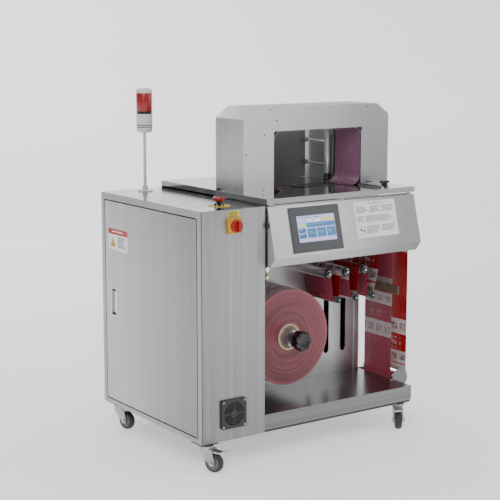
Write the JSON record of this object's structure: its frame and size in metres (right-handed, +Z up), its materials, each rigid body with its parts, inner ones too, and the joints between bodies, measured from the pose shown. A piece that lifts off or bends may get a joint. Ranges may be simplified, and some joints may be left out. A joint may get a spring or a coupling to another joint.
{
  "type": "arch banding machine",
  "caption": "Stainless machine on casters that wraps packs in wide printed film: arch over a table, film reel with dancer rollers, tilting touch panel and side cabinet.",
  "frame": {"origin": "centre of the machine's footprint, on the floor", "axes": "+X to the operator's right along the front, +Y back, +Z up"},
  "size_m": [0.989, 0.7126, 1.202],
  "materials": {
    "stainless": "vertically brushed stainless sheet",
    "mirror_top": "polished stainless sheet",
    "seam_steel": "stainless edge frame",
    "zinc": "zinc-plated",
    "chrome_tube": "polished",
    "anodised": "satin anodised",
    "black_plastic": "moulded",
    "black_metal": "black coated",
    "yellow_plastic": "moulded",
    "yellow_ring": "printed ring on a black collar",
    "red_plastic": "moulded",
    "white_plastic": "moulded",
    "lens_red": "ribbed lens",
    "grey_bezel": "moulded",
    "card": "wound card core",
    "film_mauve": "wound printed film",
    "film_red": "printed film",
    "tread": "solid tyre",
    "grey_unit": "electrical units on a board"
  },
  "bodies": {
    "machine": {"base_frame": "black_metal", "cabinet_shell": "stainless", "cabinet_door_frame": "seam_steel", "cabinet_top": "mirror_top", "door_hinge_pins": "zinc", "fan_guard": "black_plastic", "switch_plate": "yellow_plastic", "estop_plate": "yellow_ring", "tower_pole": "chrome_tube", "tower_body": "white_plastic", "tower_lens": "lens_red", "power_unit": "grey_unit", "reel_tray": "mirror_top", "reel_wall": "stainless", "rear_cover": "stainless", "table_front": "mirror_top", "table_rear": "mirror_top", "arch_front_plate": "stainless", "arch_rear_plate": "stainless", "arch_cover": "stainless", "arch_track": "anodised", "sealing_anvil": "black_metal", "fence_stand": "stainless", "guide_bars": "chrome_tube", "film_web": "film_red", "film_strands": "film_red"},
    "door": {"cabinet_door": "stainless"},
    "latch_flap": {"door_latch": "black_metal"},
    "fan": {"fan_rotor": "black_plastic"},
    "switch": {"switch_knob": "red_plastic"},
    "stop_button": {"estop_button": "red_plastic"},
    "reel": {"reel_shaft": "zinc", "reel_chucks": "anodised", "core_tube": "card", "film_roll": "film_mauve"},
    "reel_handknob": {"reel_knob": "black_plastic"},
    "guide": {"guide_roller": "anodised"},
    "upper_one": {"upper_roller_one": "anodised"},
    "upper_two": {"upper_roller_two": "anodised"},
    "upper_three": {"upper_roller_three": "anodised"},
    "dancers": {"dancer_carriage": "black_metal"},
    "dancer_one": {"dancer_roller_one": "anodised"},
    "dancer_two": {"dancer_roller_two": "anodised"},
    "dancer_three": {"dancer_roller_three": "anodised"},
    "panel": {"control_panel": "stainless", "hmi_unit": "grey_bezel"},
    "panel_knob": {"panel_lock_knob": "black_plastic"},
    "fence": {"rear_fence": "stainless"},
    "table_catch": {"table_latch": "black_plastic"},
    "sealer": {"seal_head": "zinc"},
    "fork_front_left": {"caster_fork_front_left": "black_metal"},
    "wheel_front_left": {"caster_wheel_front_left": "tread"},
    "pedal_front_left": {"brake_pedal_front_left": "zinc"},
    "fork_front_right": {"caster_fork_front_right": "black_metal"},
    "wheel_front_right": {"caster_wheel_front_right": "tread"},
    "pedal_front_right": {"brake_pedal_front_right": "zinc"},
    "fork_rear_left": {"caster_fork_rear_left": "black_metal"},
    "wheel_rear_left": {"caster_wheel_rear_left": "tread"},
    "fork_rear_right": {"caster_fork_rear_right": "black_metal"},
    "wheel_rear_right": {"caster_wheel_rear_right": "tread"}
  },
  "joints": [
    {"name": "door_swing", "type": "hinge", "parent": "machine", "child": "door", "pos_m": [-0.48947, -0.26471, 0.46], "axis": [0, 0, 1], "range_deg": [0, 110]},
    {"name": "latch_pull", "type": "hinge", "parent": "door", "child": "latch_flap", "pos_m": [-0.48647, 0.26729, 0.497], "axis": [0, 1, 0], "range_deg": [0, 40]},
    {"name": "fan_spin", "type": "hinge", "parent": "machine", "child": "fan", "pos_m": [-0.37448, -0.28171, 0.178], "axis": [0, 1, 0], "continuous": true},
    {"name": "switch_turn", "type": "hinge", "parent": "machine", "child": "switch", "pos_m": [-0.37047, -0.31071, 0.7905], "axis": [0, 1, 0], "range_deg": [0, 90]},
    {"name": "stop_press", "type": "slide", "parent": "machine", "child": "stop_button", "axis": [0, 0, -1], "range_m": [0, 0.006], "stiffness_N_per_m": 900},
    {"name": "reel_spin", "type": "hinge", "parent": "machine", "child": "reel", "pos_m": [-0.04347, -0.09571, 0.357], "axis": [0, 1, 0], "continuous": true},
    {"name": "reel_knob_turn", "type": "hinge", "parent": "reel", "child": "reel_handknob", "pos_m": [-0.04347, -0.21571, 0.357], "axis": [0, 1, 0], "continuous": true},
    {"name": "guide_spin", "type": "hinge", "parent": "machine", "child": "guide", "pos_m": [-0.14447, -0.09571, 0.579], "axis": [0, 1, 0], "continuous": true},
    {"name": "upper_spin_one", "type": "hinge", "parent": "machine", "child": "upper_one", "pos_m": [0.12052, -0.09571, 0.561], "axis": [0, 1, 0], "continuous": true},
    {"name": "upper_spin_two", "type": "hinge", "parent": "machine", "child": "upper_two", "pos_m": [0.19953, -0.09571, 0.561], "axis": [0, 1, 0], "continuous": true},
    {"name": "upper_spin_three", "type": "hinge", "parent": "machine", "child": "upper_three", "pos_m": [0.28253, -0.09571, 0.561], "axis": [0, 1, 0], "continuous": true},
    {"name": "dancer_drop", "type": "slide", "parent": "machine", "child": "dancers", "axis": [0, 0, -1], "range_m": [0, 0.22], "deforming": ["film_strands"]},
    {"name": "dancer_spin_one", "type": "hinge", "parent": "dancers", "child": "dancer_one", "pos_m": [0.16253, -0.09571, 0.465], "axis": [0, 1, 0], "continuous": true},
    {"name": "dancer_spin_two", "type": "hinge", "parent": "dancers", "child": "dancer_two", "pos_m": [0.24052, -0.09571, 0.465], "axis": [0, 1, 0], "continuous": true},
    {"name": "dancer_spin_three", "type": "hinge", "parent": "dancers", "child": "dancer_three", "pos_m": [0.31853, -0.09571, 0.465], "axis": [0, 1, 0], "continuous": true},
    {"name": "panel_tilt", "type": "hinge", "parent": "machine", "child": "panel", "pos_m": [0.05752, -0.29371, 0.841], "axis": [-1, 0, 0], "range_deg": [0, 50]},
    {"name": "panel_knob_turn", "type": "hinge", "parent": "panel", "child": "panel_knob", "pos_m": [-0.24247, -0.30321, 0.78], "axis": [1, 0, 0], "range_deg": [0, 180]},
    {"name": "fence_slide", "type": "slide", "parent": "machine", "child": "fence", "axis": [0, -1, 0], "range_m": [-0.03, 0.09]},
    {"name": "table_catch_turn", "type": "hinge", "parent": "machine", "child": "table_catch", "pos_m": [0.32853, -0.20771, 0.865], "axis": [0, 0, 1], "range_deg": [0, 90]},
    {"name": "sealer_lift", "type": "slide", "parent": "machine", "child": "sealer", "axis": [0, 0, 1], "range_m": [0, 0.012]},
    {"name": "swivel_front_left", "type": "hinge", "parent": "machine", "child": "fork_front_left", "pos_m": [-0.46847, -0.28171, 0.085], "axis": [0, 0, 1], "continuous": true},
    {"name": "roll_front_left", "type": "hinge", "parent": "fork_front_left", "child": "wheel_front_left", "pos_m": [-0.4558, -0.3089, 0.0315], "axis": [0.9063, 0.4226, 0], "continuous": true},
    {"name": "brake_press_front_left", "type": "hinge", "parent": "fork_front_left", "child": "pedal_front_left", "pos_m": [-0.45876, -0.30255, 0.0694], "axis": [0.9063, 0.4226, 0], "range_deg": [0, 8]},
    {"name": "swivel_front_right", "type": "hinge", "parent": "machine", "child": "fork_front_right", "pos_m": [0.35352, -0.26771, 0.085], "axis": [0, 0, 1], "continuous": true},
    {"name": "roll_front_right", "type": "hinge", "parent": "fork_front_right", "child": "wheel_front_right", "pos_m": [0.33632, -0.29228, 0.0315], "axis": [0.8192, -0.5736, 0], "continuous": true},
    {"name": "brake_press_front_right", "type": "hinge", "parent": "fork_front_right", "child": "pedal_front_right", "pos_m": [0.34033, -0.28655, 0.0694], "axis": [0.8192, -0.5736, 0], "range_deg": [0, 8]},
    {"name": "swivel_rear_left", "type": "hinge", "parent": "machine", "child": "fork_rear_left", "pos_m": [-0.46448, 0.28429, 0.085], "axis": [0, 0, 1], "continuous": true},
    {"name": "roll_rear_left", "type": "hinge", "parent": "fork_rear_left", "child": "wheel_rear_left", "pos_m": [-0.45671, 0.25532, 0.0315], "axis": [0.9659, 0.2588, 0], "continuous": true},
    {"name": "swivel_rear_right", "type": "hinge", "parent": "machine", "child": "fork_rear_right", "pos_m": [0.35352, 0.28429, 0.085], "axis": [0, 0, 1], "continuous": true},
    {"name": "roll_rear_right", "type": "hinge", "parent": "fork_rear_right", "child": "wheel_rear_right", "pos_m": [0.36852, 0.25831, 0.0315], "axis": [0.866, 0.5, 0], "continuous": true}
  ],
  "couplings": [
    {"joint": "guide_spin", "follows": "reel_spin", "ratio": -15.905},
    {"joint": "upper_spin_one", "follows": "reel_spin", "ratio": 10.438},
    {"joint": "upper_spin_two", "follows": "reel_spin", "ratio": 10.438},
    {"joint": "upper_spin_three", "follows": "reel_spin", "ratio": 10.438},
    {"joint": "dancer_spin_one", "follows": "reel_spin", "ratio": -14.522},
    {"joint": "dancer_spin_two", "follows": "reel_spin", "ratio": -14.522},
    {"joint": "dancer_spin_three", "follows": "reel_spin", "ratio": -14.522}
  ]
}
